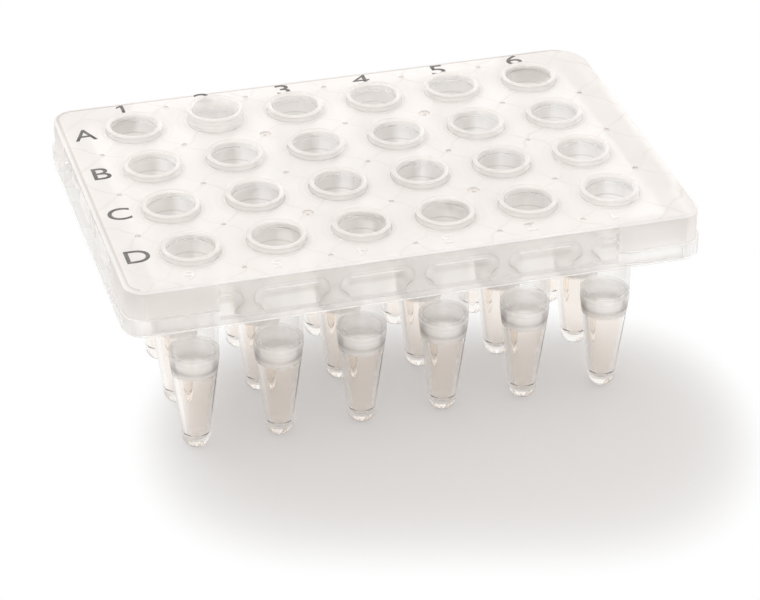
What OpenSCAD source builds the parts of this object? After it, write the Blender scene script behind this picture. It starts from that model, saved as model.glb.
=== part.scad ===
// Well plate: 24 tapered tubes on a 9 mm grid, moulded in one piece with a flat deck
// and a low, two-tier skirt. +Z is up. The origin is on the floor, under the middle of
// the grid, level with the tube tips that the plate stands on. All sizes are in mm.

/* [Well grid] */
// Wells along the length
columns = 6; // [2:1:12]
// Wells across the width
rows = 4; // [2:1:8]
// Distance between neighbouring wells
pitch = 9; // [8.5:0.1:12]

/* [Deck] */
// Height of the deck's top face above the tube tips
deck_height = 23.6; // [20:0.1:32]
// Thickness of the deck
deck_thickness = 1.2; // [0.8:0.1:2]
// Deck beyond the outer well centres, at both ends
margin_x = 8; // [6:0.1:12]
// Deck beyond the outer well centres, front and back
margin_y = 6.7; // [5.5:0.1:12]
// Radius of the deck's plain corners
corner_radius = 2.2; // [1:0.1:4]
// Radius of the keyed corner, at the back right
key_radius = 3.6; // [2.5:0.1:5]
// Length of the keyed corner's flat along each edge
key_flat = 3.9; // [2:0.1:5]
// Fall of that flat from its inner line to the deck's own square corner
key_drop = 0.4; // [0.2:0.1:0.7]
// Bevel around the deck's top edge
edge_bevel = 0.25; // [0.1:0.05:0.4]

/* [Collars] */
// Height of a collar above the deck
collar_height = 0.8; // [0.4:0.05:1.5]
// Outer diameter of a collar
collar_diameter = 6.2; // [5.9:0.1:7]
// Small round-over at the top of a collar
collar_edge = 0.12; // [0.05:0.01:0.2]
// Width of the little slope at the foot of a collar
collar_foot = 0.12; // [0.06:0.02:0.4]
// Column of the tall collar, counted from the left
tall_column = 2; // [1:1:6]
// Height of the tall collar above the deck
tall_height = 1.6; // [1.3:0.1:2]
// Diameter at the tall collar's neck, between its two stages
tall_neck = 5.8; // [5.6:0.1:6]
// Height of the tall collar's lower stage
tall_stage = 0.75; // [0.4:0.05:0.9]

/* [Tubes] */
// Outer diameter of a tube's straight upper length
tube_diameter = 5.3; // [5:0.1:5.6]
// Length of the straight upper length, from the deck's top face
tube_straight = 12.4; // [9:0.1:14]
// Outer diameter where the taper meets the round tip
taper_end = 3; // [2.4:0.1:4]
// Width of the sloping root where a tube meets the deck's underside
root_width = 0.9; // [0.3:0.1:1.2]
// Height of that sloping root
root_height = 1.2; // [0.5:0.1:2]

/* [Bores] */
// Diameter of the straight seat inside a well's mouth
mouth_diameter = 5; // [4.8:0.1:5.2]
// Depth of the seat's lower end below the deck's top face
mouth_depth = 1.5; // [1:0.1:2]
// Widening of the mouth's lead-in, on the radius
lead_in = 0.2; // [0.1:0.05:0.3]
// Wall of a tube's straight length
tube_wall = 0.45; // [0.35:0.05:0.6]
// Height of the funnel from the seat down to the tube's bore
funnel_height = 0.7; // [0.4:0.1:1.5]
// Width of the ledge low in the bore, where the taper starts
ledge_width = 0.2; // [0.1:0.02:0.4]
// Height of that ledge's rounded slope
ledge_height = 1.6; // [0.8:0.1:2.4]
// Wall at the lower end of the taper
taper_wall = 0.5; // [0.4:0.05:0.7]
// Thickness of the tip's floor
tip_floor = 1.2; // [0.6:0.1:2]

/* [Skirt] */
// Height of the skirt, from its lower edge to the deck's top face
skirt_height = 5.1; // [4.8:0.1:8]
// Height of the skirt's lower tier
lower_tier = 1.85; // [1.5:0.05:2.2]
// How far the lower tier stands out from the upper one
tier_step = 0.3; // [0.1:0.05:0.6]
// Wall of the skirt's upper tier
skirt_wall = 1.2; // [1:0.1:1.6]
// Depth of the long recess in each side
recess_depth = 0.45; // [0.2:0.05:0.5]
// Top of that recess below the deck's top face
recess_drop = 0.7; // [0.5:0.05:1]
// How far the recess runs on past its outermost post
recess_end = 3.2; // [2.6:0.1:4]
// Radius of the recess's upper corners
recess_corner = 0.6; // [0.3:0.1:1]
// Height of the rim bar under the recess
rim_bar = 0.8; // [0.5:0.05:1]
// Height of a rounded scoop
scoop_height = 2.9; // [2:0.1:3]
// Depth of a rounded scoop
scoop_depth = 0.4; // [0.2:0.05:0.45]
// Width of a post between two scoops
post_width = 1.1; // [0.6:0.1:2]
// How far a post's foot reaches along the skirt, from the post's middle
foot_reach = 1.5; // [1.2:0.05:2.5]
// Height of a post's foot at its outer edge
foot_edge = 0.3; // [0.1:0.05:0.6]
// Height of a post's foot beside the post
foot_rise = 1.2; // [0.8:0.05:1.5]
// Depth of the clear panel beside each corner, in the lower tier
panel_depth = 0.3; // [0.1:0.05:0.5]
// Margin of that panel below the ledge and above the skirt's edge
panel_rim = 0.25; // [0.15:0.05:0.4]
// Plain length between that panel and the recess
panel_gap = 0.7; // [0.4:0.1:1.5]
// Plain length between that panel and the skirt's end
corner_post = 2.2; // [2:0.1:4]

/* [Marks and ribs] */
// Diameter of the small round marks between the wells
mark_diameter = 0.6; // [0.4:0.05:1]
// Depth of every mark
mark_depth = 0.2; // [0.1:0.05:0.3]
// Diameter of the four feed marks
feed_diameter = 1.25; // [1:0.05:1.6]
// Diameter of the pip in a feed mark
pip_diameter = 0.4; // [0.2:0.05:0.6]
// Thickness of the diagonal ribs under the deck
rib_thickness = 0.6; // [0.4:0.05:0.9]
// Depth of those ribs below the deck's underside
rib_depth = 0.2; // [0.1:0.1:1.5]

/* [Hidden] */
$fn = 64;

eps = 0.01;
clear_of = 1;
grid_x = (columns - 1) * pitch;
grid_y = (rows - 1) * pitch;
half_x = grid_x / 2 + margin_x;
half_y = grid_y / 2 + margin_y;
underside = deck_height - deck_thickness;
skirt_foot = deck_height - skirt_height;
ledge = skirt_foot + lower_tier;

collar_r = collar_diameter / 2;
neck_r = tall_neck / 2;
tube_r = tube_diameter / 2;
taper_r = taper_end / 2;
straight_foot = deck_height - tube_straight;
// The round tip runs on into the taper.
taper_angle = atan((tube_r - taper_r) / (straight_foot - taper_r));
tip_r = taper_r / cos(taper_angle);

mouth_r = mouth_diameter / 2;
bore_r = tube_r - tube_wall;
bore_tip_r = (taper_r - taper_wall) / cos(taper_angle);
seat_foot = deck_height - mouth_depth;

recess_foot = skirt_foot + rim_bar;
recess_top = deck_height - recess_drop;
// A scoop is the cap of a ball this large, drawn out along the skirt.
scoop_r = (pow(scoop_height / 2, 2) + pow(scoop_depth, 2)) / (2 * scoop_depth);

// Each side of the skirt: its turn, its distance from the middle, its half length, its posts
SIDES = [
    [0, half_y, half_x, columns - 1],
    [90, half_x, half_y, rows - 1],
    [180, half_y, half_x, columns - 1],
    [270, half_x, half_y, rows - 1]
];

function along(i, count) = (i - (count + 1) / 2) * pitch;

// Whether a feed mark is after well i: one place to either side of the middle place
function fed(i, count) = abs(i - floor(count / 2)) == 1;

// Points of an arc around (x, y), from angle a to angle b
function arc(x, y, r, a, b, steps = 8) =
    [for (i = [0:steps]) [x + r * cos(a + (b - a) * i / steps), y + r * sin(a + (b - a) * i / steps)]];

// Outline of the deck, grown or shrunk, with the keyed corner at the back right
module outline(grow) {
    x = half_x + grow;
    y = half_y + grow;
    r = max(corner_radius + grow, 0.3);
    key = max(key_radius + grow, 0.3);
    polygon(concat(
        arc(x - key, y - key, key, 0, 90),
        arc(r - x, y - r, r, 90, 180),
        arc(r - x, r - y, r, 180, 270),
        arc(x - r, r - y, r, 270, 360)));
}

// Deck and upper tier as one block, bevelled along the deck's top edge
module upper_block() {
    height = deck_height - ledge;
    translate([0, 0, ledge])
        hull() {
            linear_extrude(height - edge_bevel) outline(0);
            linear_extrude(height) outline(-edge_bevel);
        }
}

module lower_block() {
    translate([0, 0, skirt_foot])
        linear_extrude(lower_tier + eps) outline(tier_step);
}

// Room under the deck, inside the skirt
module underneath() {
    translate([0, 0, skirt_foot - clear_of])
        linear_extrude(underside - skirt_foot + clear_of) outline(-skirt_wall);
}

// Nearly level flat across the keyed corner, falling outward from its inner line
module key_slope() {
    fall = atan(key_drop * sqrt(2) / key_flat);
    translate([half_x - key_flat / 2, half_y - key_flat / 2, deck_height])
        rotate([0, 0, 45])
            rotate([0, fall, 0])
                translate([0, -2 * key_flat, 0]) cube([3 * key_flat, 4 * key_flat, clear_of]);
}

// Long shallow recess of one side, with round upper corners; the side's face is y = 0
module recess(half, posts) {
    run = (posts - 1) * pitch / 2 + recess_end;
    translate([0, recess_depth, 0])
        rotate([90, 0, 0])
            linear_extrude(recess_depth + tier_step + clear_of)
                polygon(concat(
                    [[-run, recess_foot], [run, recess_foot]],
                    arc(run - recess_corner, recess_top - recess_corner, recess_corner, 0, 90, 5),
                    arc(recess_corner - run, recess_top - recess_corner, recess_corner, 90, 180, 5)));
}

// Ball-ended trough from x = from to x = to, no deeper than scoop_depth
module scoop(from, to) {
    end = scoop_height / 2;
    translate([0, scoop_depth - scoop_r, recess_foot + end]) {
        translate([from + end, 0, 0])
            rotate([0, 90, 0]) cylinder(h = to - from - 2 * end, r = scoop_r);
        for (x = [from + end, to - end])
            translate([x, 0, 0]) sphere(r = scoop_r);
    }
}

// Scoops between the posts; those at the two ends run out into the recess's ends
module scoops(posts) {
    run = (posts - 1) * pitch / 2 + recess_end;
    translate([0, recess_depth, 0])
        intersection() {
            for (cell = [0:posts])
                scoop(along(cell, posts) + post_width / 2, along(cell + 1, posts) - post_width / 2);
            translate([-run, -eps, skirt_foot])
                cube([2 * run, scoop_depth + clear_of, skirt_height]);
        }
}

// Sloping foot on both sides of one post, flush with the recess
module post_foot() {
    translate([0, recess_depth + scoop_depth + eps, recess_foot - eps])
        rotate([90, 0, 0])
            linear_extrude(scoop_depth + eps)
                polygon([
                    [-foot_reach, 0], [foot_reach, 0], [foot_reach, foot_edge],
                    [post_width / 2, foot_rise], [-post_width / 2, foot_rise], [-foot_reach, foot_edge]]);
}

// Clear panels in the lower tier, between the recess and the corners
module panels(half, posts) {
    start = (posts - 1) * pitch / 2 + recess_end + panel_gap;
    length = half - corner_post - start;
    for (turn = [0, 1])
        mirror([turn, 0, 0])
            translate([start, -tier_step - clear_of, skirt_foot + panel_rim])
                cube([length, panel_depth + clear_of, lower_tier - 2 * panel_rim]);
}

// Diagonal ribs under the deck, through the well centres and the marks
module ribs() {
    reach = grid_x + grid_y + 2 * margin_x;
    intersection() {
        translate([0, 0, underside - rib_depth])
            linear_extrude(rib_depth + eps) outline(eps - skirt_wall);
        for (line = [0:columns + rows], turn = [45, -45])
            translate([(line - (columns + rows) / 2) * pitch, 0, underside])
                rotate([0, 0, turn]) cube([2 * reach, rib_thickness, 2 * rib_depth], center = true);
    }
}

// Round tip of a tube, or of its bore when drawn smaller, up to where the taper runs off it
function tip(r, foot) = arc(0, foot + r, r, -90, -taper_angle, 10);

// Outline of a tube from its tip up to its collar
function tube_side() = concat(
    tip(tip_r, 0),
    [
        [tube_r, straight_foot],
        [tube_r, underside - root_height],
        [tube_r + root_width, underside],
        [collar_r + collar_foot, deck_height],
        [collar_r, deck_height + collar_foot]
    ]);

// Outline of an upper edge with a small round-over
function top_edge(r, top) = [[r, top - collar_edge], [r - collar_edge, top], [0, top]];

module plain_tube() {
    rotate_extrude() polygon(concat(tube_side(), top_edge(collar_r, deck_height + collar_height)));
}

// The same tube with a taller collar in two stages and a neck between them
module tall_tube() {
    neck = deck_height + tall_stage;
    flare = collar_r - neck_r;
    rotate_extrude()
        polygon(concat(
            tube_side(),
            [[collar_r, neck - flare], [neck_r, neck], [collar_r, neck + flare]],
            top_edge(collar_r, deck_height + tall_height)));
}

// Inside of a well: lead-in, seat, funnel, straight bore, ledge, taper and round floor
module bore(rim) {
    ledge_r = bore_r - ledge_width;
    rotate_extrude()
        polygon(concat(
            tip(bore_tip_r, tip_floor),
            [
                [ledge_r, straight_foot - ledge_height / 2],
                [bore_r - ledge_width / 4, straight_foot],
                [bore_r, straight_foot + ledge_height / 2],
                [bore_r, seat_foot - funnel_height],
                [mouth_r, seat_foot],
                [mouth_r, rim - lead_in],
                [mouth_r + lead_in, rim],
                [mouth_r + lead_in, rim + clear_of],
                [0, rim + clear_of]
            ]));
}

module at_well(column, row) {
    translate([along(column, columns), -along(row, rows), 0]) children();
}

// Small round marks at the middle of each four wells, where no feed mark is
module marks() {
    for (i = [0:columns], j = [0:rows])
        if ((i > 0 && i < columns || j > 0 && j < rows) && !(fed(i, columns) && fed(j, rows)))
            translate([along(i + 0.5, columns), along(j + 0.5, rows), deck_height - mark_depth])
                cylinder(h = mark_depth + clear_of, d = mark_diameter, $fn = 24);
}

// Larger marks with a pip, where the plastic was fed in
module feed_marks() {
    for (i = [1:columns - 1], j = [1:rows - 1])
        if (fed(i, columns) && fed(j, rows))
            translate([along(i + 0.5, columns), along(j + 0.5, rows), deck_height - mark_depth])
                difference() {
                    cylinder(h = mark_depth + clear_of, d = feed_diameter, $fn = 32);
                    translate([0, 0, -eps]) cylinder(h = mark_depth, d = pip_diameter, $fn = 24);
                }
}

// Deck and skirt with their relief
module tray() {
    difference() {
        union() {
            upper_block();
            lower_block();
        }
        underneath();
        key_slope();
        marks();
        feed_marks();
        for (side = SIDES)
            rotate([0, 0, side[0]])
                translate([0, -side[1], 0]) {
                    recess(side[2], side[3]);
                    scoops(side[3]);
                    panels(side[2], side[3]);
                }
    }
    for (side = SIDES, post = [1:side[3]])
        rotate([0, 0, side[0]])
            translate([along(post, side[3]), -side[1], 0]) post_foot();
}

module plate() {
    color([0.93, 0.92, 0.9])
        difference() {
            union() {
                tray();
                ribs();
                for (column = [1:columns], row = [1:rows])
                    at_well(column, row)
                        if (column == tall_column && row == 1) tall_tube();
                        else plain_tube();
            }
            for (column = [1:columns], row = [1:rows])
                at_well(column, row)
                    bore(deck_height + (column == tall_column && row == 1 ? tall_height : collar_height));
        }
}

plate();
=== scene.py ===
"""Looks of a small well plate: clear moulded plastic with a frosted deck, printed and raised marks."""
import math
from types import SimpleNamespace

import bmesh
import bpy
from mathutils import Matrix, Vector


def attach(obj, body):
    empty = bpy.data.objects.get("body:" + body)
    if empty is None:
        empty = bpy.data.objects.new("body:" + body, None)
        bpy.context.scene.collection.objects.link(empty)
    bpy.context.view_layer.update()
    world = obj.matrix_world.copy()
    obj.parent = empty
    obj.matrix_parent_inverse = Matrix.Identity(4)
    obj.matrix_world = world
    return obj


MM = 0.001

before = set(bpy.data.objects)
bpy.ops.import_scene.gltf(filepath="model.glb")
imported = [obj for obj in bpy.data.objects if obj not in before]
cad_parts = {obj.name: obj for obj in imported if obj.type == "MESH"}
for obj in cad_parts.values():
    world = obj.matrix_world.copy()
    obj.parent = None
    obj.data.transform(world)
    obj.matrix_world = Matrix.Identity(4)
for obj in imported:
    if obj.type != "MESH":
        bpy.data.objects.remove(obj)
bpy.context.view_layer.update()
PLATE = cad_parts["plate"]

# The plate's own sizes, in mm, as its frame has them.
PITCH = 9.0
COLUMNS, ROWS = 6, 4
HALF_X, HALF_Y, CORNER_R = 30.5, 20.2, 2.2
DECK_TOP = 23.6
KEY_LINE, KEY_DROP = 46.8, 0.4
COLLAR_R, COLLAR_TOP, TALL_RISE = 3.1, 24.4, 0.8
BORE_R = 2.5
SEAT_FOOT, FUNNEL_FOOT = 22.1, 21.4
SKIRT_FOOT, SKIRT_LEDGE = 18.5, 20.35
RECESS_FOOT, RECESS_END, END_RECESS = 19.3, 21.2, 12.2
POST_HALF, SCOOP_END = 0.55, 1.45
FOOT_RISE, FOOT_FALL, FOOT_REACH = 1.2, 0.95, 1.5

# Where the effects in the plastic begin and end, in mm.
BEVEL_X, BEVEL_Y = 30.2, 19.9
SIDE_X = 30.0
TUBES_X, TUBES_Y = 27.0, 17.6
HAZE_LOW, HAZE_HIGH = 10.3, 10.7
THIN_LOW, THIN_HIGH, INNER_SHIFT = 10.2, 11.4, 0.5
THIN_OUTSIDE = 0.74
BAND_MIDDLE, BAND_RING = 10.7, 0.55
GLEAM_HEIGHT, SHADE_HEIGHT, FOOT_GLEAM = 21.5, 20.8, 0.12
OUTLINE_INSET, OUTLINE_REACH = 0.45, 1.5
LINE_WIDTH = 0.22
WELL_RINGS = ((4.1, 0.35), (3.48, 0.4))
RIB_LINES = ((1.0, -2.4), (-1.0, 0.0))
WANDER_SCALE, WANDER = 0.28, (2.4, 2.4, 0.0)

ZONE_NAMES = ("Deck", "Marks", "Edge", "Back edge shade", "Skirt ends", "Skirt", "Bore", "Band", "Collar",
              "Rim", "Thin", "Inside", "Deck shade lines", "Shade lines", "Gleam")


def well_x(column):
    return (column - (COLUMNS - 1) / 2) * PITCH


def well_y(row):
    return ((ROWS - 1) / 2 - row) * PITCH


# ---------------------------------------------------------------- node helpers


class Wiring:
    """Adds nodes to one tree, set out in rows. A side is a number, a tuple or an output socket."""

    PER_ROW = 12

    def __init__(self, tree):
        self.tree = tree
        self.made = 0

    def node(self, kind, settings=None, **values):
        """A node of one kind, with settings on the node and values on its sockets."""
        node = self.tree.nodes.new(kind)
        row, column = divmod(self.made, self.PER_ROW)
        node.location = (column * 200, -row * 200)
        self.made += 1
        for name, value in (settings or {}).items():
            setattr(node, name, value)
        for name, value in values.items():
            node.inputs[name.replace("_", " ")].default_value = value
        return node

    def feed(self, socket, side):
        """Links an output socket to this one, or sets its value."""
        if isinstance(side, bpy.types.NodeSocket):
            self.tree.links.new(side, socket)
        else:
            socket.default_value = side

    def maths(self, operation, *sides, clamp=False):
        node = self.node("ShaderNodeMath", {"operation": operation, "use_clamp": clamp})
        for socket, side in zip(node.inputs, sides):
            self.feed(socket, side)
        return node.outputs[0]

    def plus(self, first, second):
        return self.maths("ADD", first, second)

    def minus(self, first, second, clamp=False):
        return self.maths("SUBTRACT", first, second, clamp=clamp)

    def times(self, first, second):
        return self.maths("MULTIPLY", first, second)

    def times_plus(self, first, second, third):
        return self.maths("MULTIPLY_ADD", first, second, third)

    def either(self, first, second):
        """The larger of two."""
        return self.maths("MAXIMUM", first, second)

    def above(self, value, level):
        return self.maths("GREATER_THAN", value, level)

    def below(self, value, level):
        return self.maths("LESS_THAN", value, level)

    def off(self, value, level):
        """How far a value is from a level, to either side."""
        return self.maths("ABSOLUTE", self.minus(value, level))

    def fold(self, value, half):
        """Distance to the nearest of a row of places, each twice half from the next."""
        return self.maths("PINGPONG", value, half)

    def ramp(self, value, low, high, to_low=0.0, to_high=1.0):
        """A smooth step from to_low at low to to_high at high."""
        node = self.node("ShaderNodeMapRange", {"interpolation_type": "SMOOTHSTEP"})
        for socket, side in zip(node.inputs, (value, low, high, to_low, to_high)):
            self.feed(socket, side)
        return node.outputs[0]

    def fade(self, value, low, high, strength=1.0):
        """A smooth step down from strength to nothing."""
        return self.ramp(value, low, high, strength, 0.0)

    def blend(self, share, first, second):
        """A colour between two, each a tuple or a socket."""
        node = self.node("ShaderNodeMix", {"data_type": "RGBA"})
        self.feed(node.inputs[0], share)
        for index, colour in ((6, first), (7, second)):
            self.feed(node.inputs[index], (*colour, 1.0) if isinstance(colour, tuple) else colour)
        return node.outputs[2]

    def split(self, vector):
        node = self.node("ShaderNodeSeparateXYZ")
        self.feed(node.inputs[0], vector)
        return node.outputs

    def length(self, x, y):
        """Length of a flat vector."""
        flat = self.node("ShaderNodeCombineXYZ")
        self.feed(flat.inputs[0], x)
        self.feed(flat.inputs[1], y)
        node = self.node("ShaderNodeVectorMath", {"operation": "LENGTH"})
        self.feed(node.inputs[0], flat.outputs[0])
        return node.outputs["Value"]

    def mix_shaders(self, share, first, second):
        node = self.node("ShaderNodeMixShader")
        for socket, side in zip(node.inputs, (share, first.outputs[0], second.outputs[0])):
            self.feed(socket, side)
        return node.outputs[0]

    def group(self, group, place, **values):
        """One of the shared groups, with its place wired; gives its outputs."""
        node = self.node("ShaderNodeGroup", {"node_tree": group}, **values)
        self.feed(node.inputs["Place"], place)
        return node.outputs


def new_group(name, inputs, outputs):
    """An empty node group with its sockets made; gives its wiring and its two end nodes."""
    group = bpy.data.node_groups.new(name, "ShaderNodeTree")
    for label, kind, default in inputs:
        socket = group.interface.new_socket(label, in_out="INPUT", socket_type=kind)
        if default is not None:
            socket.default_value = default
    for label in outputs:
        group.interface.new_socket(label, in_out="OUTPUT", socket_type="NodeSocketFloat")
    start = group.nodes.new("NodeGroupInput")
    end = group.nodes.new("NodeGroupOutput")
    start.location, end.location = (-600, 0), (2600, 0)
    return Wiring(group), start, end


# ---------------------------------------------------------------- zones of the plate


def find_place(wire, place):
    """Where a point is: its coordinates, their sizes, and how far it is from the nearest well's axis."""
    x, y, z = wire.split(place)
    ax, ay = wire.maths("ABSOLUTE", x), wire.maths("ABSOLUTE", y)
    sides = []
    for side, count in ((ax, COLUMNS), (ay, ROWS)):
        cell = wire.maths("FLOOR", wire.maths("DIVIDE", side, PITCH))
        cell = wire.maths("MINIMUM", cell, count / 2 - 1)
        sides.append(wire.minus(side, wire.times_plus(cell, PITCH, PITCH / 2)))
    return SimpleNamespace(place=place, x=x, y=y, z=z, ax=ax, ay=ay, distance=wire.length(*sides))


def add_deck(wire, at, zone):
    """The deck's top face with the keyed corner's lower flat, the small marks, the bevel, and painted shade
    on the back bevel and on a thin line inside the edge at the back and on the left."""
    corner = wire.above(wire.plus(at.x, at.y), KEY_LINE)
    lifted = wire.times_plus(corner, KEY_DROP, at.z)
    high = wire.ramp(lifted, DECK_TOP - 0.3, DECK_TOP - 0.26)
    at.outside = wire.ramp(at.distance, COLLAR_R + 0.02, COLLAR_R + 0.12)
    zone["Deck"] = deck = wire.times(high, at.outside)
    # The bevel and the floors of the marks are as low
    low = wire.times(wire.ramp(lifted, DECK_TOP - 0.02, DECK_TOP - 0.06), deck)
    bevel = wire.either(wire.above(at.ax, BEVEL_X), wire.above(at.ay, BEVEL_Y))
    zone["Edge"] = edge = wire.times(low, bevel)
    zone["Marks"] = wire.minus(low, edge)
    # Painted shade on the back bevel, and on a thin line inside the edge at the back and on the left
    back_edge_shade = wire.times(edge, wire.above(at.y, BEVEL_Y))
    past_corner = wire.length(wire.either(wire.minus(at.ax, HALF_X - CORNER_R), 0.0),
                              wire.either(wire.minus(at.ay, HALF_Y - CORNER_R), 0.0))
    off_line = wire.off(past_corner, CORNER_R - OUTLINE_INSET)
    shade_outline = wire.times(wire.fade(off_line, 0.05, 0.22, 0.8), deck)
    back_left = wire.either(wire.above(at.y, HALF_Y - OUTLINE_REACH),
                            wire.below(at.x, OUTLINE_REACH - HALF_X))
    zone["Back edge shade"] = wire.either(back_edge_shade, wire.times(shade_outline, back_left))


def add_wells(wire, at, zone):
    """The inside faces of the wells, the milky band low in the tubes, and fine rings of painted shade in
    both.
    """
    at.haze = wire.ramp(at.z, HAZE_LOW, HAZE_HIGH)
    at.not_collar = wire.ramp(at.z, DECK_TOP + 0.15, DECK_TOP - 0.1)
    at.within = wire.ramp(at.distance, BORE_R + 0.25, BORE_R + 0.05)
    zone["Bore"] = wire.times(wire.times(at.haze, at.within), at.not_collar)
    zone["Band"] = wire.fade(wire.off(at.z, BAND_MIDDLE), 0.9, 1.6)
    # Painted shade: faint rings across the band, and thin rings at the seat's and the funnel's foot
    rings = wire.fold(wire.plus(at.z, BAND_RING / 2), BAND_RING / 2)
    rings = wire.times(wire.fade(rings, 0.0, 0.09, 0.3), zone["Band"])
    for height, width in ((SEAT_FOOT, 0.10), (FUNNEL_FOOT, 0.06)):
        ring = wire.times(wire.fade(wire.off(at.z, height), 0.0, width), zone["Bore"])
        rings = wire.either(rings, ring)
    return rings


def add_collars(wire, at, zone):
    """The collars and the top of each, which is higher at the second place of the back row."""
    zone["Collar"] = wire.times(wire.minus(1.0, at.not_collar), wire.minus(1.0, at.outside))
    second = wire.below(wire.off(at.x, well_x(1)), PITCH / 2)
    tall = wire.times(second, wire.above(at.y, PITCH))
    at.below_top = wire.times_plus(tall, -TALL_RISE, at.z)
    zone["Rim"] = wire.times(zone["Collar"], wire.ramp(at.below_top, COLLAR_TOP - 0.17, COLLAR_TOP - 0.12))


def add_lines(wire, at, zone):
    """Faint, slightly crooked diagonal lines over the ribs, and faint rings round each well: painted shade
    where the ribs and the wells under the deck show through it.
    """
    wander = wire.node("ShaderNodeTexNoise", Scale=WANDER_SCALE, Detail=1.0)
    wire.feed(wander.inputs["Vector"], at.place)
    crooked = wire.node("ShaderNodeVectorMath", {"operation": "MULTIPLY_ADD"})
    for socket, side in zip(crooked.inputs, (wander.outputs["Color"], WANDER, at.place)):
        wire.feed(socket, side)
    bent_x, bent_y, _ = wire.split(crooked.outputs[0])
    found = []
    for turn, shift in RIB_LINES:
        along = wire.plus(wire.times_plus(bent_y, turn, bent_x), shift)
        near = wire.times(wire.fold(along, PITCH / 2), math.sqrt(0.5))
        found.append(wire.fade(near, 0.0, LINE_WIDTH))
    for radius, strength in WELL_RINGS:
        found.append(wire.fade(wire.off(at.distance, radius), 0.0, LINE_WIDTH, strength))
    lines = found[0]
    for line in found[1:]:
        lines = wire.either(lines, line)
    zone["Deck shade lines"] = wire.times(lines, zone["Deck"])


def add_skirt(wire, at, zone):
    """The skirt, its face past the long recesses above the ledge, and the thin walls inside it."""
    at.on_side = wire.ramp(at.ax, SIDE_X, SIDE_X + 0.2)
    past_long = wire.ramp(at.ax, RECESS_END, RECESS_END + 0.15)
    past_end = wire.ramp(at.ay, END_RECESS, END_RECESS + 0.15)
    at.past = wire.plus(wire.times(past_end, at.on_side),
                        wire.times(past_long, wire.minus(1.0, at.on_side)))
    above = wire.ramp(at.z, SKIRT_LEDGE - 0.05, SKIRT_LEDGE + 0.05)
    below = wire.ramp(at.z, DECK_TOP - 0.2, DECK_TOP - 0.3)
    zone["Skirt ends"] = wire.times(at.past, wire.times(above, below))
    outer = wire.either(wire.ramp(at.ax, TUBES_X, TUBES_X + 0.4), wire.ramp(at.ay, TUBES_Y, TUBES_Y + 0.4))
    zone["Skirt"] = wire.times(outer, below)
    inside = wire.either(wire.times(wire.minus(1.0, outer), below), zone["Bore"])
    zone["Inside"] = wire.times(inside, at.haze)
    # Inner faces are thin from further down, so that no ray is caught in the wall between the two
    shifted = wire.times_plus(at.within, INNER_SHIFT, at.z)
    thin = wire.times(inside, wire.ramp(shifted, THIN_LOW, THIN_HIGH))
    zone["Thin"] = wire.times(thin, wire.times_plus(at.within, 1 - THIN_OUTSIDE, THIN_OUTSIDE))


def add_scoops(wire, at, zone, rings):
    """Painted lines on the skirt and the collars: painted shade on the outlines of the scoops, darkest round
    their ends, and on the posts' sloping feet, a painted highlight streak over a painted shade band in each
    scoop, and a painted highlight on the lower edge."""
    side_run = wire.node("ShaderNodeMix", {"data_type": "FLOAT"})
    for index, side in ((0, at.on_side), (2, at.ax), (3, at.ay)):
        wire.feed(side_run.inputs[index], side)
    to_post = wire.fold(side_run.outputs[0], PITCH / 2)
    face = wire.minus(zone["Skirt"], at.past, clamp=True)
    past_line = wire.either(wire.minus(POST_HALF + SCOOP_END, to_post), 0.0)
    above_foot = wire.minus(at.z, RECESS_FOOT)
    reach = wire.length(past_line, wire.minus(above_foot, SCOOP_END))
    ends_only = wire.ramp(past_line, 0.1, 0.8, 0.25, 1.0)
    # Painted shade along the scoops' outlines, darkest round their ends, and along the posts' sloping feet
    relief = wire.times(wire.fade(wire.off(reach, SCOOP_END), 0.0, 0.11), ends_only)
    slope = wire.times_plus(wire.minus(to_post, POST_HALF), -FOOT_FALL, FOOT_RISE)
    on_slope = wire.times(wire.fade(wire.off(above_foot, slope), 0.0, 0.14),
                          wire.below(to_post, FOOT_REACH))
    relief = wire.either(relief, wire.times(on_slope, wire.above(to_post, POST_HALF)))
    relief = wire.either(wire.times(relief, face), rings)
    between = wire.times(wire.ramp(to_post, 1.2, 2.0), face)
    # Painted highlight: a bright streak along each scoop, and a bright line along the skirt's lower edge
    streak = wire.times(wire.fade(wire.off(at.z, GLEAM_HEIGHT), 0.06, 0.2), between)
    foot_line = wire.times(wire.fade(wire.off(at.z, SKIRT_FOOT + FOOT_GLEAM), 0.04, 0.12), zone["Skirt"])
    zone["Gleam"] = wire.either(streak, foot_line)
    # Painted shade: a darker band under the streak in each scoop
    shaded = wire.times(wire.fade(wire.off(at.z, SHADE_HEIGHT), 0.15, 0.4, 0.4), between)
    relief = wire.either(relief, shaded)
    # Thin painted shade lines at a collar's foot and under its top edge
    outer_wall = wire.times(wire.ramp(at.distance, COLLAR_R - 0.3, COLLAR_R - 0.1), zone["Collar"])
    for height, level in ((at.z, DECK_TOP + 0.12), (at.below_top, COLLAR_TOP - 0.2)):
        ring = wire.times(wire.fade(wire.off(height, level), 0.03, 0.1, 0.35), outer_wall)
        relief = wire.either(relief, ring)
    zone["Shade lines"] = relief


def make_zones():
    """Masks over the plate, from 0 to 1, one for each of its zones."""
    wire, start, end = new_group("plate_zones", [("Place", "NodeSocketVector", None)], ZONE_NAMES)
    scale = wire.node("ShaderNodeVectorMath", {"operation": "SCALE"}, Scale=1 / MM)
    wire.feed(scale.inputs[0], start.outputs["Place"])
    at, zone = find_place(wire, scale.outputs[0]), {}
    add_deck(wire, at, zone)
    rings = add_wells(wire, at, zone)
    add_collars(wire, at, zone)
    add_lines(wire, at, zone)
    add_skirt(wire, at, zone)
    add_scoops(wire, at, zone, rings)
    for name in ZONE_NAMES:
        wire.feed(end.inputs[name], zone[name])
    return wire.tree


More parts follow.
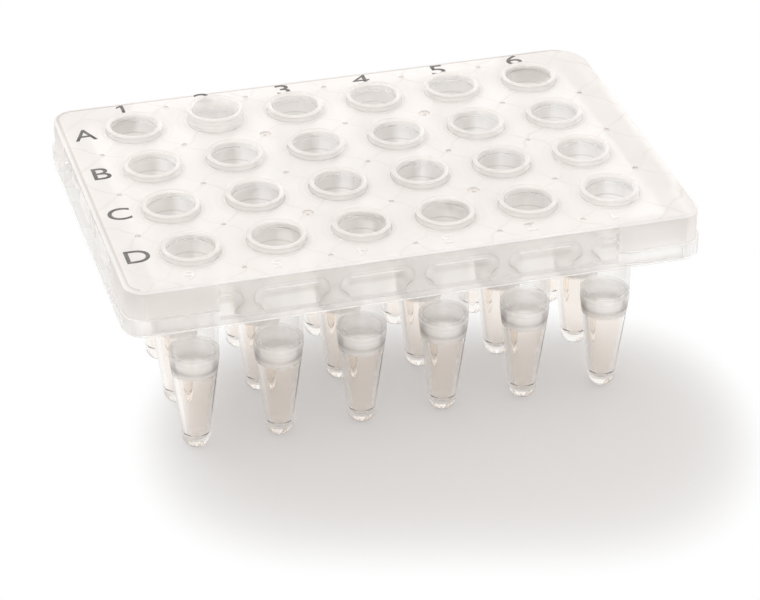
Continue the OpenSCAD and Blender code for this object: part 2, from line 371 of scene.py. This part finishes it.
def make_mottle():
    """Faint uneven flow and pores of a moulded surface: a shade from 0 to 1 and a height for bump."""
    wire, start, end = new_group(
        "moulded_mottle",
        [("Place", "NodeSocketVector", None), ("Cloud size", "NodeSocketFloat", 120.0),
         ("Pore size", "NodeSocketFloat", 1500.0)],
        ("Shade", "Height"))
    cloud = wire.node("ShaderNodeTexNoise", Detail=3.0, Roughness=0.55)
    pores = wire.node("ShaderNodeTexNoise", Detail=2.0, Roughness=0.6)
    for node, size in ((cloud, "Cloud size"), (pores, "Pore size")):
        wire.feed(node.inputs["Vector"], start.outputs["Place"])
        wire.feed(node.inputs["Scale"], start.outputs[size])
    wire.feed(end.inputs["Shade"], wire.ramp(cloud.outputs[0], 0.35, 0.7))
    wire.feed(end.inputs["Height"], pores.outputs[0])
    return wire.tree


ZONES = make_zones()
MOTTLE = make_mottle()


# ---------------------------------------------------------------- materials

CLEAR_COLOUR = (0.98, 0.948, 0.915)
HAZY_COLOUR = (0.998, 0.98, 0.96)
FROST_DARK = (0.82, 0.79, 0.765)
FROST_LIGHT = (0.85, 0.82, 0.795)
# Milky white of the hazy walls, kept lighter than the frosted colour of the deck and rims so that the walls
# turned from the light read as bright: partly painted light
MILKY_AND_PAINTED_LIGHT_COLOUR = (1.0, 0.98, 0.96)
# Painted shade where the ribs and wells under the deck show through it
DECK_LINE_SHADE = (0.74, 0.69, 0.65)
PRINT_DARK, PRINT_LIGHT = (0.10, 0.095, 0.09), (0.17, 0.16, 0.15)
RELIEF_DARK, RELIEF_LIGHT = (0.86, 0.835, 0.81), (0.90, 0.88, 0.86)
INSIDE_ALPHA, SKIRT_ALPHA, COLLAR_ALPHA = 0.12, 0.45, 0.55
BORE_ALPHA, BORE_ALPHA_LOW, BORE_ALPHA_HIGH = 0.6, 15 * MM, 18 * MM

# Least alpha of a zone, its colour over the frosted shade, and its share of that frosted look.
LEAST_ALPHA = (("Band", 0.65), ("Shade lines", 0.85), ("Gleam", 0.9))
# Painted colours: the dark brown over the scoops, wells and collars and on the back edge is painted shade,
# and the near white of the gleam is a painted highlight
ZONE_COLOURS = (("Shade lines", (0.58, 0.53, 0.49)), ("Gleam", (1.0, 0.985, 0.97)), ("Marks", (0.87, 0.83, 0.80)),
                ("Edge", (0.87, 0.85, 0.835)), ("Back edge shade", (0.60, 0.55, 0.52)))
FROSTED_SHARES = (("Skirt ends", 0.85), ("Skirt", 0.7), ("Bore", 0.65), ("Inside", 0.8), ("Band", 0.85),
                  ("Collar", 0.8), ("Rim", 0.8), ("Shade lines", 0.75), ("Gleam", 0.8))


def new_material(name):
    """An empty material; gives it, its wiring, its output's surface socket and the place on the object."""
    material = bpy.data.materials.new(name)
    material.use_nodes = True
    material.node_tree.nodes.clear()
    wire = Wiring(material.node_tree)
    surface = wire.node("ShaderNodeOutputMaterial").inputs[0]
    return material, wire, surface, wire.node("ShaderNodeTexCoord").outputs["Object"]


def plastic_shader(wire, colour, roughness, transmission, ior=1.49):
    """A Principled shader for this plastic, with its constants set on its own sockets."""
    shader = wire.node("ShaderNodeBsdfPrincipled")
    shader.inputs["Base Color"].default_value = (*colour, 1.0)
    shader.inputs["Roughness"].default_value = roughness
    shader.inputs["IOR"].default_value = ior
    shader.inputs["Transmission Weight"].default_value = transmission
    return shader


def wall_alpha(wire, place, zone, skirt, walls):
    """Thin walls let most light straight through; frosted ones don't."""
    alpha = wire.times_plus(zone["Thin"], INSIDE_ALPHA - 1.0, 1.0)
    alpha = wire.times_plus(skirt, SKIRT_ALPHA - 1.0, alpha)
    alpha = wire.times_plus(walls, COLLAR_ALPHA - 1.0, alpha)
    height = wire.split(place)[2]
    upper = wire.ramp(height, BORE_ALPHA_LOW, BORE_ALPHA_HIGH)
    alpha = wire.either(alpha, wire.times(wire.times(zone["Bore"], BORE_ALPHA), upper))
    for name, least in LEAST_ALPHA:
        alpha = wire.either(alpha, wire.times(zone[name], least))
    return alpha


def frosted_shade(wire, mottle, zone, milky_and_painted_light):
    """A little cloudy, with faint lines of painted shade over the ribs, brown marks and a white edge; milky
    white on the walls, partly painted light; painted shade lines and painted highlights on the skirt, wells
    and collars, and painted shade on the back edge.
    """
    shade = wire.blend(mottle["Shade"], FROST_DARK, FROST_LIGHT)
    shade = wire.blend(milky_and_painted_light, shade, MILKY_AND_PAINTED_LIGHT_COLOUR)
    uneven = wire.times_plus(mottle["Shade"], 0.6, 0.4)
    # Painted shade lines over the ribs and round the wells
    lines = wire.times(wire.times(zone["Deck shade lines"], uneven), 0.7)
    shade = wire.blend(lines, shade, DECK_LINE_SHADE)
    for name, colour in ZONE_COLOURS:
        shade = wire.blend(zone[name], shade, colour)
    return shade


def clear_plastic():
    """Clear plastic, hazy above the tapers, and frosted on the deck and the skirt's upper ends."""
    material, wire, surface, place = new_material("clear_moulded_plastic")
    zone, mottle = wire.group(ZONES, place), wire.group(MOTTLE, place)
    clear = plastic_shader(wire, CLEAR_COLOUR, 0.03, 1.0)
    frosted = plastic_shader(wire, FROST_DARK, 0.5, 0.3, 1.25)
    # Polished tapers, softly hazy walls above them, hazier still inside the wells
    rough = wire.times_plus(zone["Inside"], 0.03, 0.02)
    rough = wire.times_plus(zone["Bore"], 0.20, rough)
    wire.feed(clear.inputs["Roughness"], wire.times_plus(zone["Collar"], 0.04, rough))
    hazy = wire.either(zone["Inside"], wire.either(zone["Skirt"], zone["Collar"]))
    wire.feed(clear.inputs["Base Color"], wire.blend(hazy, CLEAR_COLOUR, HAZY_COLOUR))
    skirt = wire.minus(zone["Skirt"], zone["Skirt ends"], clamp=True)
    walls = wire.minus(zone["Collar"], zone["Rim"], clamp=True)
    alpha = wall_alpha(wire, place, zone, skirt, walls)
    for shader in (clear, frosted):
        wire.feed(shader.inputs["Alpha"], alpha)
    # Milky white on the inner walls, skirt and collar walls: their haze, and painted light that keeps them
    # lighter than the deck
    milky_and_painted_light = wire.either(zone["Inside"], wire.either(skirt, walls))
    wire.feed(frosted.inputs["Base Color"], frosted_shade(wire, mottle, zone, milky_and_painted_light))
    bump = wire.node("ShaderNodeBump", Strength=0.15, Distance=0.00002)
    wire.feed(bump.inputs["Height"], mottle["Height"])
    wire.feed(frosted.inputs["Normal"], bump.outputs[0])
    share = zone["Deck"]
    for name, weight in FROSTED_SHARES:
        share = wire.either(share, wire.times(zone[name], weight))
    wire.feed(surface, wire.mix_shaders(share, clear, frosted))
    return material


def mottled_material(name, colour, roughness, transmission, dark, light, **sizes):
    """One plain Principled shader between two close colours."""
    material, wire, surface, place = new_material(name)
    mottle = wire.group(MOTTLE, place, **sizes)
    shader = plastic_shader(wire, colour, roughness, transmission)
    wire.feed(shader.inputs["Base Color"], wire.blend(mottle["Shade"], dark, light))
    wire.feed(surface, shader.outputs[0])
    return material


# ---------------------------------------------------------------- marks on the deck

ONE_FLAG = ((0.02, 0.0), (-0.14, -0.10), (-0.14, -0.19), (0.02, -0.10))
INK_THICKNESS, INK_WEIGHT = 0.02, 0.004
LETTER_SIZE, LETTER_X, LETTER_LIFT = 2.45, -27.9, 0.45
NUMBER_SIZE, NUMBER_Y, SECOND_NUMBER_Y = 2.1, 18.6, 19.0
DIGIT_SIZE, DIGIT_ASIDE, DIGIT_Y, DIGIT_THICKNESS = 1.5, -1.2, -18.15, 0.08


def add_flag(mesh):
    """A slanting flag at the top of a plain upright stroke, so that it reads as a one."""
    left = min(v.co.x for v in mesh.vertices)
    top = max(v.co.y for v in mesh.vertices)
    shape = bmesh.new()
    shape.from_mesh(mesh)
    shape.faces.new([shape.verts.new((left + x, top + y, 0)) for x, y in ONE_FLAG])
    shape.normal_update()
    for face in shape.faces:
        if face.normal.z < 0:
            face.normal_flip()
    shape.to_mesh(mesh)
    shape.free()


def place_mark(mesh, height, width, middle, turned):
    """Sizes a mark and moves it to its place on the deck, in its own vertices."""
    low = [min(v.co[i] for v in mesh.vertices) for i in range(2)]
    high = [max(v.co[i] for v in mesh.vertices) for i in range(2)]
    scale = height * MM / (high[1] - low[1])
    centre = Matrix.Translation((-(low[0] + high[0]) / 2, -(low[1] + high[1]) / 2, 0))
    size = Matrix.Diagonal((scale * width, scale, scale, 1))
    turn = Matrix.Rotation(math.pi if turned else 0.0, 4, "Z")
    mesh.transform(Matrix.Translation((middle[0] * MM, middle[1] * MM, DECK_TOP * MM)) @ turn @ size @ centre)


def make_mark(name, letter, height, middle, thickness, material, weight=0.0, width=1.0, turned=False,
              bevel=0.0):
    """One flat letter or digit on the deck, a mesh with its place in its vertices."""
    bpy.ops.object.select_all(action="DESELECT")
    bpy.ops.object.text_add(location=(0, 0, 0))
    mark = bpy.context.object
    mark.data.body = letter
    mark.data.align_x, mark.data.align_y = "CENTER", "CENTER"
    mark.data.size = 1.0
    mark.data.offset = weight
    mark.data.resolution_u = 6
    bpy.ops.object.convert(target="MESH")
    mark = bpy.context.object
    if letter == "1":
        add_flag(mark.data)
    place_mark(mark.data, height, width, middle, turned)
    solid = mark.modifiers.new("thickness", "SOLIDIFY")
    solid.thickness = thickness * MM
    solid.offset = 1.0
    bpy.ops.object.modifier_apply(modifier=solid.name)
    if bevel:
        edge = mark.modifiers.new("edge", "BEVEL")
        edge.width, edge.segments = bevel * MM, 2
        bpy.ops.object.modifier_apply(modifier=edge.name)
    bpy.ops.object.mode_set(mode="EDIT")
    bpy.ops.mesh.select_all(action="SELECT")
    bpy.ops.mesh.remove_doubles(threshold=1e-7)
    bpy.ops.mesh.normals_make_consistent(inside=False)
    bpy.ops.object.mode_set(mode="OBJECT")
    mark.name = name
    mark.data.name = name
    mark.data.materials.clear()
    mark.data.materials.append(material)
    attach(mark, "root")
    return mark


def make_marks():
    """The printed letters and numbers, and the small raised digits along the front edge."""
    ink = mottled_material("dark_print", (0.12, 0.11, 0.105), 0.45, 0.0, PRINT_DARK, PRINT_LIGHT,
                           Cloud_size=900.0)
    relief = mottled_material("frosted_relief", (0.88, 0.86, 0.84), 0.35, 0.1, RELIEF_DARK, RELIEF_LIGHT)
    for row, letter in enumerate("ABCD"):
        middle = (LETTER_X, well_y(row) + LETTER_LIFT)
        width = 1.0 if letter == "A" else 1.13
        mark = make_mark(f"row_letter_{letter}", letter, LETTER_SIZE, middle, INK_THICKNESS, ink,
                         INK_WEIGHT, width)
    for column in range(COLUMNS):
        number = column + 1
        aside, width = (-0.45, 1.1) if number == 1 else (-0.1, 1.4)
        middle = (well_x(column) + aside, SECOND_NUMBER_Y if number == 2 else NUMBER_Y)
        # A bolder four would lose its open middle
        weight = 0.0 if number == 4 else INK_WEIGHT
        mark = make_mark(f"column_number_{number}", str(number), NUMBER_SIZE, middle, INK_THICKNESS, ink,
                         weight, width)
        digit = str(COLUMNS - column)
        middle = (well_x(column) + DIGIT_ASIDE, DIGIT_Y)
        mark = make_mark(f"raised_digit_{digit}", digit, DIGIT_SIZE, middle, DIGIT_THICKNESS, relief,
                         weight=-0.01, width=1.2, turned=True, bevel=0.02)


# ---------------------------------------------------------------- floor, light and camera

FLOOR_GLOW = 0.65
FLOOR_COLOUR = (0.79, 0.775, 0.77, 1)
SHADOW_COLOUR = (0.68, 0.655, 0.64)
SHADOW_MIDDLE, SHADOW_TURN, SHADOW_REACH = (0.0038, -0.0183, 0), math.radians(-16), (0.028, 0.018, 1)
WORLD_COLOUR, WORLD_STRENGTH = (1.0, 0.995, 0.99, 1), 1.25


def seen_ray(wire):
    """1 for what the camera sees, straight, in a reflection or through clear plastic."""
    path = wire.node("ShaderNodeLightPath").outputs
    seen = wire.either(path["Is Camera Ray"], path["Is Glossy Ray"])
    return wire.either(seen, path["Is Transmission Ray"])


def make_floor():
    """A pale floor that keeps the plate's shadow, adds a painted shadow that glows grey round the plate in
    what is seen, and runs out into white around it.
    """
    bpy.ops.object.select_all(action="DESELECT")
    bpy.ops.mesh.primitive_plane_add(size=2.0, location=(0, 0, 0))
    floor = bpy.context.object
    floor.name = "floor"
    material, wire, surface, place = new_material("pale_floor")
    near = wire.node("ShaderNodeMapping", {"vector_type": "TEXTURE"}, Location=SHADOW_MIDDLE,
                     Rotation=(0, 0, SHADOW_TURN), Scale=SHADOW_REACH)
    wire.feed(near.inputs[0], place)
    x, y, _ = wire.split(near.outputs[0])
    # How far out a place is: steeper to the sides than to the front
    across = wire.times(x, x)
    out_by = wire.times_plus(across, across, wire.times(y, y))
    away = wire.ramp(out_by, 0.3, 2.2)
    # Painted shadow: near the plate, what is seen of the floor is mostly a grey glow, fading to white further
    # out
    share = wire.times(wire.times_plus(away, 1.0 - FLOOR_GLOW, FLOOR_GLOW), seen_ray(wire))
    diffuse = wire.node("ShaderNodeBsdfDiffuse", Color=FLOOR_COLOUR)
    white = wire.node("ShaderNodeEmission")
    wire.feed(white.inputs["Color"], wire.blend(away, SHADOW_COLOUR, (1.0, 1.0, 1.0)))
    wire.feed(surface, wire.mix_shaders(share, diffuse, white))
    floor.data.materials.append(material)


def make_world():
    """Soft light from all round at a plain level, and plain white for what is seen behind the plate."""
    world = bpy.data.worlds.new("studio")
    bpy.context.scene.world = world
    world.use_nodes = True
    world.node_tree.nodes.clear()
    wire = Wiring(world.node_tree)
    out = wire.node("ShaderNodeOutputWorld")
    light = wire.node("ShaderNodeBackground", Color=WORLD_COLOUR, Strength=WORLD_STRENGTH)
    white = wire.node("ShaderNodeBackground", Color=(1, 1, 1, 1), Strength=1.0)
    wire.feed(out.inputs[0], wire.mix_shaders(seen_ray(wire), light, white))


def make_lamp(name, place, aim, size, watts):
    bpy.ops.object.light_add(type="AREA", location=place)
    lamp = bpy.context.object
    lamp.name = name
    lamp.data.shape = "SQUARE"
    lamp.data.size = size
    lamp.data.energy = watts
    lamp.rotation_euler = (Vector(aim) - Vector(place)).to_track_quat("-Z", "Y").to_euler()


def make_camera():
    """The camera: it looks down at the plate from the front, a little to the left."""
    azimuth, elevation, roll = math.radians(-16.121), math.radians(31.152), math.radians(0.224)
    distance, aside, lift = 331.29 * MM, 1.296 * MM, -14.965 * MM
    back = Vector((math.sin(azimuth) * math.cos(elevation), -math.cos(azimuth) * math.cos(elevation),
                   math.sin(elevation)))
    right = Vector((math.cos(azimuth), math.sin(azimuth), 0))
    up = back.cross(right)
    right, up = (right * math.cos(roll) + up * math.sin(roll), up * math.cos(roll) - right * math.sin(roll))
    bpy.ops.object.camera_add()
    camera = bpy.context.object
    camera.name = "camera"
    camera.data.sensor_width = 36
    camera.data.lens = 147.12
    camera.data.clip_start, camera.data.clip_end = 0.01, 20
    turn = Matrix((right, up, back)).transposed().to_4x4()
    look_at = Vector((0, 0, 23.8 * MM))
    camera.matrix_world = Matrix.Translation(look_at + back * distance + right * aside + up * lift) @ turn
    bpy.context.scene.camera = camera


def make_studio():
    make_floor()
    make_world()
    make_lamp("key", (-0.24, 0.36, 0.60), (0, 0, 0.02), 0.45, 0.7)
    make_camera()
    scene = bpy.context.scene
    scene.view_settings.view_transform = "Standard"
    scene.cycles.max_bounces = 20
    scene.cycles.transmission_bounces = 20
    scene.cycles.diffuse_bounces = 8
    scene.cycles.transparent_max_bounces = 48


PLATE.material_slots[0].material = clear_plastic()
make_marks()
make_studio()
